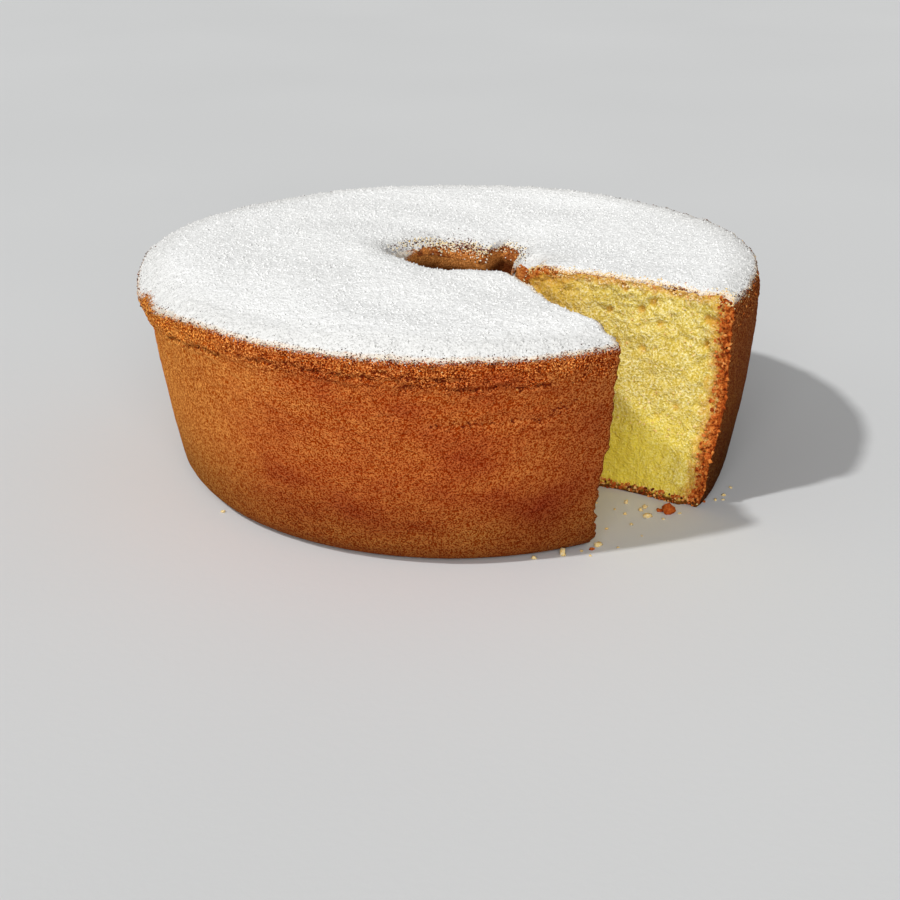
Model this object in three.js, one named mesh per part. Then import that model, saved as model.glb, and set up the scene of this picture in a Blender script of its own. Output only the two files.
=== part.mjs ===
// A ring cake baked in a tube pan, wide side up, with one slice cut out.
// Millimetres, +Z up, table at z = 0. The front is -Y and the slice is missing at the front right.
import * as THREE from 'three';
import { mergeVertices } from 'three/addons/utils/BufferGeometryUtils.js';

const { clamp, degToRad, lerp, smoothstep } = THREE.MathUtils;

// Driving dimensions of the ring
const BASE_RADIUS = 113.5;        // outer wall carried down to the table
const RIM_RADIUS = 125.7;         // outer wall under the rim
const WALL_BULGE = 1.7;           // above 1 the wall is fuller than a straight taper
const WALL_HEIGHT = 84;           // height over which the wall opens out
const BASE_EDGE = 9;              // height of the rounding at the foot of the wall
const BASE_EDGE_IN = 7;           // how far that rounding comes in
const BAND = 11;                  // height of the rough band under the rim
const HOLE_BASE_RADIUS = 31.5;    // the tube is wider at the foot
const HOLE_TOP_RADIUS = 25;
const HOLE_EDGE = 3;              // rounding at the foot of the hole
const TOP_LEVEL = 85.3;           // level of the top behind its rounded edge
const EDGE_DROP = 1.5;            // the edge lies this far under the level
const EDGE_WIDTH = 18;            // width of the rounded edge
const CROWN_WIDTH = 30;           // the crown rises over this width from the rim
const HOLE_DROP = 6;              // the edge of the hole lies this far under the top
const HOLE_SHOULDER = 14;         // width of the rounding into the hole

// The slice: each cut is a straight line seen from above, a little off the middle of the ring
const NEAR_CUT = { direction: degToRad(-68), offset: 9.7 };
const FAR_CUT = { direction: degToRad(-29), offset: -4.3 };
const FAR_LEAN = 5;               // the foot of the far cut stands out this far into the gap
const NEAR_BACK = 3.8;            // the near cut lies back this far inside its outer edge
const NEAR_EDGE_FROM = 99;        // radii between which that edge begins
const NEAR_EDGE_TO = 108;

// Beside the far cut the pan left a squarer corner: less rounding at the foot, a fuller wall low down
// and a slight neck under the rim
const CORNER_SQUARE = 0.8;        // share of the rounding that is missing
const CORNER_FULL = 4;
const CORNER_FULL_TO = 62;        // height where the extra fullness ends
const CORNER_NECK = 1.4;
const CORNER_NECK_AT = 74;
const CORNER_NECK_HALF = 9;

// Towards the near cut the top falls away further into the hole
const FRONT_DROP = 7;
const FRONT_SHOULDER = 10;

// One part of the hole's edge is torn deeper
const TEAR_DROP = 4;
const TEAR_SHOULDER = 5;

// The lip stands out at the left, so the middle of the ring is set right of the middle of the box
const AXIS_X = 2.1;

// The sugar
const SUGAR_GAP = 0.3;            // clearance to the cake
const SUGAR_THICK = 1.3;
const SUGAR_EDGE_THICK = 0.5;
const SUGAR_THIN_OUT = 1 / 6;     // share of the way across over which it thins out

// Steps of the faceted solids: from hole to rim, round the ring, from base to top
const ACROSS = 10;
const AROUND = 90;
const UP = 12;
const CROWDING = 0.6;             // how much closer the steps lie at both ends

// Unevenness of the bake round the ring. Bumps are rows of amount in mm, middle and half width in
// degrees. Waves are rows of amount in mm, number round the ring, phase in radians, and how fast they
// turn on the way out from the hole, in radians per mm.
const LEVEL_BUMPS = [[1.0, -20, 45], [-0.8, 80, 60]];
const SAG_BUMPS = [[8, -163, 14]];
const LIP_LEAST = 0.6;
const LIP_BUMPS = [[3.8, -168, 28], [-3.0, -12, 38]];
const TEAR_BUMPS = [[1, 33, 13]];
const WALL_WAVES = [[0.9, 2, degToRad(332)], [0.6, 3, degToRad(3)]];
const CROWN_LEAST = 0.6;
const CROWN_WAVES = [[3.4, 1, degToRad(220)]];
const TOP_WAVES = [[0.5, 4, 0, 1 / 11], [0.4, 7, 0, -1 / 8]];
const TOP_WAVES_IN = 12;          // the waves of the top fade out over this width at the rim

// Angle of each cut at radius r
function cutAngle(cut, r, push) {
  return cut.direction + Math.asin(clamp((cut.offset + push) / r, -1, 1));
}

// Where the ring starts and ends. The uneven shapes are read at angles between these two.
const START = cutAngle(FAR_CUT, RIM_RADIUS, 0);
const END = cutAngle(NEAR_CUT, RIM_RADIUS, 0) + 2 * Math.PI;

// One soft hill, 1 in the middle and fading over the half width
function hill(away, half) {
  return Math.exp(-((away / half) ** 2));
}

function bumps(rows, t) {
  return rows.reduce((sum, [amount, middle, half]) => {
    const away = t - degToRad(middle);
    return sum + amount * hill(Math.atan2(Math.sin(away), Math.cos(away)), degToRad(half));
  }, 0);
}

function waves(rows, t, out = 0) {
  return rows.reduce((sum, [amount, count, phase, turn = 0]) => (
    sum + amount * Math.sin(count * t + phase + turn * out)
  ), 0);
}

// A quarter ellipse from 0 to 1, upright where it starts
function quarter(x) {
  const t = clamp(x, 0, 1);
  return Math.sqrt(1 - (1 - t) ** 2);
}

// Steps set closer together at both ends, where the edges are rounded
function crowdEnds(t) {
  return t - (CROWDING / (2 * Math.PI)) * Math.sin(2 * Math.PI * t);
}

const level = (t) => TOP_LEVEL + bumps(LEVEL_BUMPS, t);
const sag = (t) => bumps(SAG_BUMPS, t);
const lip = (t) => LIP_LEAST + bumps(LIP_BUMPS, t);
const tear = (t) => bumps(TEAR_BUMPS, t);
const corner = (t) => hill(t - START, degToRad(20));
const front = (t) => hill(END - t, degToRad(50));
const rimHeight = (t) => level(t) - EDGE_DROP - sag(t);

// The rough band swells under the rim, and torn cracks run along its foot, most of all in front
function bandRelief(t, below) {
  const shown = 0.35 + bumps([[0.65, -120, 65]], t);
  const broken = clamp(0.55 + waves([[0.5, 11, 1], [0.4, 19, 2]], t), 0, 1);
  const line = BAND - 1 + waves([[1.4, 5, 0], [0.8, 13, 1]], t);
  const swell = 0.7 * hill(below - 6, 4);
  const crack = 1.7 * broken * hill(below - line, 1.8);
  return shown * (swell - crack);
}

// Outer wall: a full taper with a rounded foot and a lip that hangs out or rolls in
function outerRadius(z, t) {
  const up = clamp(z / WALL_HEIGHT, 0, 1);
  const taper = lerp(BASE_RADIUS, RIM_RADIUS, 1 - (1 - up) ** WALL_BULGE);
  const foot = BASE_EDGE_IN * (1 - CORNER_SQUARE * corner(t)) * (1 - quarter(z / BASE_EDGE));
  const full = CORNER_FULL * clamp(1 - z / CORNER_FULL_TO, 0, 1);
  const neck = CORNER_NECK * hill(z - CORNER_NECK_AT, CORNER_NECK_HALF);
  const below = rimHeight(t) - z;
  const reach = clamp(1 - below / (BAND + 1), 0, 1) ** 1.4;
  const baked = waves(WALL_WAVES, t) + lip(t) * reach + bandRelief(t, below);
  return taper - foot + corner(t) * (full - neck) + baked;
}

function holeRadius(z) {
  const taper = lerp(HOLE_BASE_RADIUS, HOLE_TOP_RADIUS, clamp(z / WALL_HEIGHT, 0, 1));
  return taper + HOLE_EDGE * (1 - quarter(z / HOLE_EDGE));
}

// Top of the cake at share a of the way from the hole to the rim
function topHeight(a, t) {
  const width = RIM_RADIUS - HOLE_TOP_RADIUS;
  const fromRim = (1 - a) * width;
  const fromHole = a * width;
  const rise = 1 - (1 - clamp(fromRim / CROWN_WIDTH, 0, 1)) ** 2;
  const crown = (CROWN_LEAST + waves(CROWN_WAVES, t)) * rise;
  const rim = (EDGE_DROP + sag(t)) * (1 - quarter(fromRim / EDGE_WIDTH));
  const shoulder = HOLE_SHOULDER + TEAR_SHOULDER * tear(t) + FRONT_SHOULDER * front(t);
  const drop = HOLE_DROP + TEAR_DROP * tear(t) + FRONT_DROP * front(t);
  const lumps = waves(TOP_WAVES, t, fromHole) * quarter(fromRim / TOP_WAVES_IN);
  return level(t) + crown - rim - drop * (1 - quarter(fromHole / shoulder)) + lumps;
}

// The knife leaves each cut face a little uneven. The far one leans. The near one lies back inside a
// stout outer edge, which is hollow low down.
function nearUneven(r, z) {
  const edge = smoothstep(r, NEAR_EDGE_FROM, NEAR_EDGE_TO);
  const back = NEAR_BACK * lerp(0.5, 1, z / WALL_HEIGHT) * (1 - edge);
  const out = edge * (1.4 * hill(z - 88, 16) - 1.7 * hill(z - 27, 13));
  return out - back + 0.5 * Math.sin(r / 8 + z / 12) + 0.4 * Math.sin(r / 5 - z / 7 + 1);
}
function farUneven(r, z) {
  const lean = FAR_LEAN * (1 - z / WALL_HEIGHT);
  return lean + 0.5 * Math.sin(r / 9 - z / 11 + 2) + 0.4 * Math.sin(r / 5 + z / 8);
}

// A block bent round into the ring: a runs from hole to rim, u round from the far cut to the near
// cut, and r and z have been worked out for that spot
function ringPoint(u, r, z) {
  const start = cutAngle(FAR_CUT, r, -farUneven(r, z));
  const end = cutAngle(NEAR_CUT, r, nearUneven(r, z)) + 2 * Math.PI;
  const angle = lerp(start, end, u);
  return [AXIS_X + r * Math.cos(angle), r * Math.sin(angle), z];
}

function cakePoint(a, u, b) {
  const t = lerp(START, END, u);
  const z = b * topHeight(a, t);
  const r = lerp(holeRadius(b * topHeight(0, t)), outerRadius(b * rimHeight(t), t), a);
  return ringPoint(u, r, z);
}

function sugarPoint(a, u, b) {
  const t = lerp(START, END, u);
  const cake = topHeight(a, t);
  const r = lerp(holeRadius(topHeight(0, t)), outerRadius(rimHeight(t), t), a);
  const inside = quarter(Math.min(a, 1 - a) / SUGAR_THIN_OUT);
  const uneven = 1 + 0.2 * Math.sin(9 * t + 8 * a) + 0.15 * Math.sin(16 * t - 13 * a);
  const thick = lerp(SUGAR_EDGE_THICK, SUGAR_THICK * uneven, inside);
  // Both faces keep the cake's own angles, so the two skins never cross
  const [x, y] = ringPoint(u, r, cake);
  return [x, y, cake + SUGAR_GAP + b * thick];
}

// A unit block in even steps, each corner moved to its place on the ring
function bendBlock(up, place) {
  const block = new THREE.BoxGeometry(1, 1, 1, ACROSS, AROUND, up);
  const at = block.attributes.position;
  for (let i = 0; i < at.count; i += 1) {
    const a = crowdEnds(clamp(at.getX(i) + 0.5, 0, 1));
    const u = clamp(at.getY(i) + 0.5, 0, 1);
    const b = crowdEnds(clamp(at.getZ(i) + 0.5, 0, 1));
    at.setXYZ(i, ...place(a, u, b));
  }
  // The underside of a block is split into triangles the other way from its top side. Turning those
  // splits lets the sugar lie on the cake facet by facet.
  const split = block.index.array;
  const { start, count } = block.groups[5];
  for (let i = start; i < start + count; i += 6) {
    const [a, b, d, , c] = split.slice(i, i + 6);
    split.set([a, b, c, a, c, d], i);
  }
  block.deleteAttribute('normal');
  block.deleteAttribute('uv');
  const solid = mergeVertices(block, 1e-4);
  solid.computeVertexNormals();
  return solid;
}

const CRUST = new THREE.MeshStandardMaterial({ name: 'cake_crust', color: '#a5622c', roughness: 0.85 });
const SUGAR = new THREE.MeshStandardMaterial({ name: 'icing_sugar', color: '#f2f1ee', roughness: 0.95 });

const cake = new THREE.Mesh(bendBlock(UP, cakePoint), CRUST);
cake.name = 'cake';

const sugar = new THREE.Mesh(bendBlock(1, sugarPoint), SUGAR);
sugar.name = 'sugar_dusting';

const part = new THREE.Group();
part.name = 'ring_cake';
part.add(cake, sugar);

export default part;
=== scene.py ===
# %% [markdown]
# ## A ring cake with a slice cut out
#
# The packed model holds two solids: the cake and the sugar on its top. They are the frame: their size
# and place are fixed, and this script only dresses them. It loads them first, and later measures how far
# the dressed cake lies from the cake solid.

# %% Load the frame
import math

import bmesh
import bpy
import numpy as np
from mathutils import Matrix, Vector, noise
from mathutils.bvhtree import BVHTree


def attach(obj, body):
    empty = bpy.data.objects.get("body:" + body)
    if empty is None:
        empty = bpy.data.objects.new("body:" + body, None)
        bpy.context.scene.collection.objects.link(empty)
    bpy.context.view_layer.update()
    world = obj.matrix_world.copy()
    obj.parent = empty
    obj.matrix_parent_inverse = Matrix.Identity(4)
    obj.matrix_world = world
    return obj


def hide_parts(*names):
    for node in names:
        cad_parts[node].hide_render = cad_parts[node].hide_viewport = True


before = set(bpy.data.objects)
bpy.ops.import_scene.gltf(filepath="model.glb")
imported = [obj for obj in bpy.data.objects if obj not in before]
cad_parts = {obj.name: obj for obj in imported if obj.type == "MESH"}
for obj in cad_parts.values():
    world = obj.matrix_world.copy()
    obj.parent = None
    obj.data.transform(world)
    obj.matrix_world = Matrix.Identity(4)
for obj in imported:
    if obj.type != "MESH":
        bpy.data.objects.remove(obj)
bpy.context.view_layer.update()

MM = 0.001

# %% [markdown]
# ## The camera
#
# The photograph looks slightly down on the cake from in front. A camera could be placed by eye, but
# here it was worked out from the photograph: the round rim, the round base and the back outline fix
# how far away it stands, how high, and how steeply it looks down. The angle of view follows from the
# focal length in pixels of a 900 pixel wide picture.

# %% Camera at the photograph's viewing angle
PICTURE_WIDTH = 900
FOCAL_PIXELS = 1630
CAMERA_PLACE = (-0.1 * MM, -650 * MM, 271 * MM)
CAMERA_DOWN = math.radians(22.8)
SENSOR_WIDTH = 36

camera_data = bpy.data.cameras.new("camera")
camera_data.sensor_width = SENSOR_WIDTH
camera_data.lens = SENSOR_WIDTH * FOCAL_PIXELS / PICTURE_WIDTH
camera = bpy.data.objects.new("camera", camera_data)
camera.location = CAMERA_PLACE
camera.rotation_euler = (math.pi / 2 - CAMERA_DOWN, 0, 0)
bpy.context.collection.objects.link(camera)
bpy.context.scene.camera = camera
print("camera lens, mm:", round(camera_data.lens, 1))

# %% [markdown]
# ## A small kit for finishes
#
# Every finish here is a tree of shader nodes. Written out node by node, such a tree is long and hard
# to follow. So two small classes add the nodes: most calls make a node, or a few, and hand back the
# output. All sizes are given in millimetres of the real cake, because the pieces are at true size.

# %% Nodes and their sums
class NodeKit:
    """A new material with its tree of nodes, and the sums that its nodes can do."""

    def __init__(self, name):
        self.material = bpy.data.materials.new(name)
        self.material.use_nodes = True
        self.tree = self.material.node_tree
        self.shader = self.tree.nodes["Principled BSDF"]
        self.place = self.add("ShaderNodeTexCoord").outputs["Object"]

    def add(self, kind, **settings):
        node = self.tree.nodes.new(kind)
        for name, value in settings.items():
            setattr(node, name, value)
        return node

    def feed(self, socket, value):
        if isinstance(value, bpy.types.NodeSocket):
            self.tree.links.new(value, socket)
        elif socket.type == "RGBA":
            socket.default_value = (*value, 1)
        else:
            socket.default_value = value

    def math(self, operation, a, b=0.0):
        node = self.add("ShaderNodeMath", operation=operation)
        self.feed(node.inputs[0], a)
        self.feed(node.inputs[1], b)
        return node.outputs[0]

    def times(self, a, b):
        return self.math("MULTIPLY", a, b)

    def plus(self, a, b):
        return self.math("ADD", a, b)

    def sway(self, value, amount):
        """A noise of 0 to 1 made to swing about 0, by half this amount to each side."""
        return self.times(self.math("SUBTRACT", value, 0.5), amount)

    def spread(self, value, low, high, to_low=0.0, to_high=1.0):
        """Takes a value from one range to another, easing in and out and stopping at the ends."""
        node = self.add("ShaderNodeMapRange", interpolation_type="SMOOTHSTEP")
        self.feed(node.inputs["Value"], value)
        for name, number in zip(("From Min", "From Max", "To Min", "To Max"), (low, high, to_low, to_high)):
            node.inputs[name].default_value = number
        return node.outputs["Result"]


print("sums:", [name for name in vars(NodeKit) if not name.startswith("_")])

# %% A finish under construction
class Finish(NodeKit):
    """A material that reads places, measures and noise, mixes colours and ends in one shader."""

    def measure(self, name):
        """A number that the mesh keeps at each corner."""
        return self.add("ShaderNodeAttribute", attribute_name=name).outputs["Fac"]

    def axis(self, name):
        """The place along X, Y or Z in millimetres."""
        node = self.add("ShaderNodeSeparateXYZ")
        self.feed(node.inputs[0], self.place)
        return self.times(node.outputs[name], 1 / MM)

    def moved(self, shift, stretch):
        node = self.add("ShaderNodeMapping")
        self.feed(node.inputs["Vector"], self.place)
        node.inputs["Location"].default_value = (shift * 0.37, shift * 0.11, shift * 0.23)
        node.inputs["Scale"].default_value = stretch
        return node.outputs["Vector"]

    def noise(self, size, detail=3.0, rough=0.55, shift=0, stretch=(1, 1, 1)):
        node = self.add("ShaderNodeTexNoise")
        self.feed(node.inputs["Vector"], self.moved(shift, stretch))
        node.inputs["Scale"].default_value = 1 / (size * MM)
        node.inputs["Detail"].default_value = detail
        node.inputs["Roughness"].default_value = rough
        return node.outputs["Fac"]

    def ramp(self, value, *stops):
        node = self.add("ShaderNodeValToRGB")
        self.feed(node.inputs["Fac"], value)
        points = node.color_ramp.elements
        while len(points) < len(stops):
            points.new(0.5)
        for point, (at, colour) in zip(points, stops):
            point.position = at
            point.color = (*colour, 1)
        return node.outputs["Color"]

    def mix(self, share, a, b, blend="MIX"):
        node = self.add("ShaderNodeMix", data_type="RGBA", blend_type=blend)
        self.feed(node.inputs["Factor"], share)
        self.feed(node.inputs[6], a)
        self.feed(node.inputs[7], b)
        return node.outputs[2]

    def tint(self, share, colour, factors):
        """The colour, multiplied by the factors where the share is 1."""
        return self.mix(share, colour, self.mix(1, colour, factors, "MULTIPLY"))

    def bump(self, height, depth):
        node = self.add("ShaderNodeBump")
        self.feed(node.inputs["Height"], height)
        node.inputs["Distance"].default_value = depth * MM
        return node.outputs["Normal"]

    def finish(self, colour, normal, rough, shine):
        self.feed(self.shader.inputs["Base Color"], colour)
        self.feed(self.shader.inputs["Normal"], normal)
        self.shader.inputs["Roughness"].default_value = rough
        self.shader.inputs["Specular IOR Level"].default_value = shine
        return self.material


print("finish helpers:", [name for name in vars(Finish) if not name.startswith("_")])

# %% Colours as a picture stores them
def rgb(red, green, blue):
    """A colour of 0 to 255 turned into the linear light that shaders use."""
    share = np.array([red, green, blue]) / 255
    linear = np.where(share <= 0.04045, share / 12.92, ((share + 0.055) / 1.055) ** 2.4)
    return tuple(float(v) for v in linear)


print("mid grey in linear light:", round(rgb(128, 128, 128)[0], 3))

# %% [markdown]
# ## Floor and light
#
# The cake was photographed in bright daylight from the left: the left of the crust glows, the right
# flank falls into shade, and the near half throws a shadow on the far cut. The edge of that shadow gave
# the direction of the main lamp. A wide lamp beside the camera opens the shadows, and a pale sky fills in
# the rest. Both lamps are of the sun kind, which light the plain pale floor evenly however large it is.

# %% Floor
FLOOR_SIZE = 12.0

half = FLOOR_SIZE / 2
floor_mesh = bpy.data.meshes.new("floor")
floor_corners = [(-half, -half, 0), (half, -half, 0), (half, half, 0), (-half, half, 0)]
floor_mesh.from_pydata(floor_corners, [], [(0, 1, 2, 3)])
floor = bpy.data.objects.new("floor", floor_mesh)
bpy.context.collection.objects.link(floor)

pale = Finish("pale_floor")
floor_cloud = pale.ramp(pale.noise(400, detail=2), (0.3, rgb(212, 213, 213)), (0.7, rgb(216, 217, 217)))
floor_mesh.materials.append(pale.finish(floor_cloud, pale.bump(pale.noise(3), 0.05), 0.8, 0.2))
print("floor, m:", FLOOR_SIZE)

# %% Lamps
def lamp(name, round_degrees, up_degrees, wide_degrees, strength):
    """A far lamp; its direction is given round the cake from +X and up from the floor."""
    turn, up = math.radians(round_degrees), math.radians(up_degrees)
    toward = Vector((math.cos(turn) * math.cos(up), math.sin(turn) * math.cos(up), math.sin(up)))
    data = bpy.data.lights.new(name, "SUN")
    data.angle = math.radians(wide_degrees)
    data.energy = strength
    lamp_object = bpy.data.objects.new(name, data)
    lamp_object.location = toward
    lamp_object.rotation_euler = toward.to_track_quat("Z", "Y").to_euler()
    bpy.context.collection.objects.link(lamp_object)


lamp("daylight_left", round_degrees=209, up_degrees=51, wide_degrees=3.5, strength=1.75)
lamp("wide_front", round_degrees=269, up_degrees=25, wide_degrees=45, strength=1.7)

# %% Sky
SKY_STRENGTH = 0.26

sky = bpy.data.worlds.new("sky")
sky.use_nodes = True
sky.node_tree.nodes["Background"].inputs["Color"].default_value = (1, 1, 1, 1)
sky.node_tree.nodes["Background"].inputs["Strength"].default_value = SKY_STRENGTH
bpy.context.scene.world = sky
bpy.context.scene.view_settings.view_transform = "Standard"
print("sky strength:", SKY_STRENGTH)

# %% [markdown]
# ## The form of the ring
#
# A tube pan gives the cake its form: a full wall that opens upwards, a rounded foot, and a hole that is
# wider below than above. Baking makes it uneven: the lip hangs out and sags at the left, rolls in at the
# right, and the crown is higher in front. The solid was made by bending a block round into a ring, and
# the same few formulas are used here, in millimetres, so that the dressed cake keeps the solid's form at
# any fineness. `a` runs from the hole (0) to the rim (1), `u` round the ring from the far cut (0) to the
# near cut (1), and `b` from the base (0) to the top (1). `t` is the angle round the ring in radians, `r` the
# distance from its middle and `z` the height.

# %% Driving sizes of the ring
BASE_RADIUS = 113.5
RIM_RADIUS = 125.7
WALL_BULGE = 1.7
WALL_HEIGHT = 84
BASE_EDGE = 9
BASE_EDGE_IN = 7
BAND = 11
HOLE_BASE_RADIUS = 31.5
HOLE_TOP_RADIUS = 25
HOLE_EDGE = 3
TOP_LEVEL = 85.3
EDGE_DROP = 1.5
EDGE_WIDTH = 18
CROWN_WIDTH = 30
HOLE_DROP = 6
HOLE_SHOULDER = 14
AXIS_X = 2.1
RING_WIDTH = RIM_RADIUS - HOLE_TOP_RADIUS
print("ring, mm: base", 2 * BASE_RADIUS, "rim", 2 * RIM_RADIUS, "hole", 2 * HOLE_TOP_RADIUS)

# %% Helpers for uneven shapes
def lerp(low, high, share):
    return low + (high - low) * share


def hill(away, half_width):
    """1 in the middle, fading over the half width."""
    return np.exp(-((away / half_width) ** 2))


def bumps(rows, t):
    """Hills round the ring, from rows of amount in mm, middle and half width in degrees."""
    total = 0
    for amount, middle, half_width in rows:
        away = np.angle(np.exp(1j * (t - math.radians(middle))))
        total = total + amount * hill(away, math.radians(half_width))
    return total


def waves(rows, t, out=0):
    """Waves round the ring, from rows of amount, number, phase and turn per mm on the way out."""
    return sum(amount * np.sin(count * t + phase + turn * out) for amount, count, phase, turn in rows)


def quarter(x):
    """A quarter ellipse from 0 to 1, upright where it starts."""
    return np.sqrt(1 - (1 - np.clip(x, 0, 1)) ** 2)


def ease(x, low, high):
    share = np.clip((x - low) / (high - low), 0, 1)
    return share * share * (3 - 2 * share)


print("a hill half a width away:", round(float(hill(0.5, 1)), 2))

# %% [markdown]
# ## The two cuts
#
# The slice was taken out with two cuts of a knife. They could be planes in a Boolean. Here each cut only
# says at which angle the ring starts or ends at a given radius, and the ring is bent between them. A cut
# has a direction and an offset from the middle of the ring, in radians and millimetres. The far one
# leans, and the near one is set back behind its outer edge.

# %% Cuts of the slice
NEAR_CUT = (math.radians(-68), 9.7)
FAR_CUT = (math.radians(-29), -4.3)
FAR_LEAN = 5
NEAR_BACK = 3.8
NEAR_EDGE = (99, 108)


def cut_angle(cut, r, push):
    """Angle round the ring at which a cut, pushed out by some millimetres, meets this radius."""
    direction, offset = cut
    return direction + np.arcsin(np.clip((offset + push) / r, -1, 1))


def near_uneven(r, z):
    """How far the near cut stands out from its plane, in millimetres."""
    edge = ease(r, *NEAR_EDGE)
    back = NEAR_BACK * lerp(0.5, 1, z / WALL_HEIGHT) * (1 - edge)
    out = edge * (1.4 * hill(z - 88, 16) - 1.7 * hill(z - 27, 13))
    return out - back + 0.5 * np.sin(r / 8 + z / 12) + 0.4 * np.sin(r / 5 - z / 7 + 1)


def far_uneven(r, z):
    """How far the far cut stands out from its plane, in millimetres."""
    lean = FAR_LEAN * (1 - z / WALL_HEIGHT)
    return lean + 0.5 * np.sin(r / 9 - z / 11 + 2) + 0.4 * np.sin(r / 5 + z / 8)


START = cut_angle(FAR_CUT, RIM_RADIUS, 0)
END = cut_angle(NEAR_CUT, RIM_RADIUS, 0) + 2 * np.pi
print("ring runs from", round(math.degrees(START)), "to", round(math.degrees(END)), "degrees")

# %% [markdown]
# ## Wall, hole and top
#
# No stretch of the real rim is like the next. Corners could be pushed about by hand, but that would have
# to be done again for every change of the grid. A few hills and waves, each with its amount and its place
# round the ring, give the sag, the lip and the crown instead, and can be asked for at any angle.

# %% Rim, wall, hole and top
LEVEL_BUMPS = [(1.0, -20, 45), (-0.8, 80, 60)]
SAG_BUMPS = [(8, -163, 14)]
LIP_BUMPS = [(0.6, 0, 1e6), (3.8, -168, 28), (-3.0, -12, 38)]
TEAR_BUMPS = [(1, 33, 13)]
WALL_WAVES = [(0.9, 2, math.radians(332), 0), (0.6, 3, math.radians(3), 0)]
CROWN_WAVES = [(0.6, 0, math.pi / 2, 0), (3.4, 1, math.radians(220), 0)]
TOP_WAVES = [(0.5, 4, 0, 1 / 11), (0.4, 7, 0, -1 / 8)]


def rim_height(t):
    return TOP_LEVEL + bumps(LEVEL_BUMPS, t) - EDGE_DROP - bumps(SAG_BUMPS, t)


def outer_radius(z, t):
    corner = hill(t - START, math.radians(20))
    taper = lerp(BASE_RADIUS, RIM_RADIUS, 1 - (1 - np.clip(z / WALL_HEIGHT, 0, 1)) ** WALL_BULGE)
    foot = BASE_EDGE_IN * (1 - 0.8 * corner) * (1 - quarter(z / BASE_EDGE))
    full = corner * (4 * np.clip(1 - z / 62, 0, 1) - 1.4 * hill(z - 74, 9))
    reach = np.clip(1 - (rim_height(t) - z) / (BAND + 1), 0, 1) ** 1.4
    return taper - foot + full + waves(WALL_WAVES, t) + bumps(LIP_BUMPS, t) * reach


def hole_radius(z):
    taper = lerp(HOLE_BASE_RADIUS, HOLE_TOP_RADIUS, np.clip(z / WALL_HEIGHT, 0, 1))
    return taper + HOLE_EDGE * (1 - quarter(z / HOLE_EDGE))


def top_height(a, t):
    from_rim = (1 - a) * RING_WIDTH
    from_hole = a * RING_WIDTH
    front = hill(END - t, math.radians(50))
    tear = bumps(TEAR_BUMPS, t)
    rise = 1 - (1 - np.clip(from_rim / CROWN_WIDTH, 0, 1)) ** 2
    rim = (EDGE_DROP + bumps(SAG_BUMPS, t)) * (1 - quarter(from_rim / EDGE_WIDTH))
    shoulder = HOLE_SHOULDER + 5 * tear + 10 * front
    drop = (HOLE_DROP + 4 * tear + 7 * front) * (1 - quarter(from_hole / shoulder))
    unrest = waves(TOP_WAVES, t, from_hole) * quarter(from_rim / 12)
    return TOP_LEVEL + bumps(LEVEL_BUMPS, t) + waves(CROWN_WAVES, t) * rise - rim - drop + unrest


round_ring = np.linspace(START, END, 361)
print("rim, mm: from", rim_height(round_ring).min().round(1), "to", rim_height(round_ring).max().round(1))

# %% [markdown]
# ## Roughness as real shape
#
# Crust and crumb are never smooth. What can be seen from a step away is made as real shape here, and
# only the finest grain is left to the finishes. Blender's own fractal noise gives the same lumps on every
# run. Two small wrappers take points in millimetres and the size of a lump or a pore.

# %% Lumps and pores of a given size
PORE_REACH = 0.42


def lumps(points, size, octaves=3, seed=0):
    """Fractal noise at each point, about -1 to 1, with lumps of about this size in millimetres."""
    shift = Vector((17.3, 5.1, 9.7)) * seed
    return np.array([noise.fractal(Vector(p) / size + shift, 1.0, 2.0, octaves) for p in points])


def pores(points, size, seed=0):
    """1 in the middle of scattered pores of about this size in millimetres, 0 between them."""
    shift = Vector((3.9, 8.3, 1.7)) * seed
    nearest = np.array([noise.voronoi(Vector(p) / size + shift)[0][0] for p in points])
    return np.clip(1 - nearest / PORE_REACH, 0, 1)


print("one lump:", lumps([(1.0, 2.0, 3.0)], 2.0).round(3))

# %% [markdown]
# ## The cake
#
# The cake is one closed mesh: wall, top, hole, base and the two cut faces. A Boolean cut of a ring would
# leave long thin triangles on the cut faces, just where the crumb needs an even grid. So the block of
# the solid is bent again, far finer. Only its shell is made. The wall and the cut faces get the full
# grid. The base, the hole and the top, which the sugar hides, keep only some of the lines, and where such
# a coarse side meets a fine cut face, one many-sided face takes up the difference.

# %% Grid of the cake's shell
STATIONS = 500
ACROSS = 140
UP = 96
TOP_LINES = [0, 1, 2, 3, 5, 7, 10, 14, 20, 30, 50, 76, 100, 116, 126, 132, 136, 138, 139, 140]
BASE_LINES = [0, 35, 70, 105, 140]
HOLE_LINES = list(range(0, UP + 1, 4))

needed = np.zeros((STATIONS + 1, ACROSS + 1, UP + 1), dtype=bool)
needed[:, ACROSS, :] = True
needed[:, 0, HOLE_LINES] = True
needed[:, TOP_LINES, UP] = True
needed[:, BASE_LINES, 0] = True
needed[[0, STATIONS]] = True
corner_number = np.full(needed.shape, -1)
corner_number[needed] = np.arange(needed.sum())
station, column, row = np.nonzero(needed)
print("cake corners:", needed.sum())

# %% [markdown]
# ## The torn band under the rim
#
# While the top rose, the crust tore a little way under the rim. The tears are short dark lines, most of
# them in front and at the left, with rough crust above them. Noise alone would put them anywhere. Here they
# follow the lines seen on the real cake, each given by its angle round the ring in degrees and its
# depth under the rim in millimetres, and noise only makes them ragged.

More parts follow.
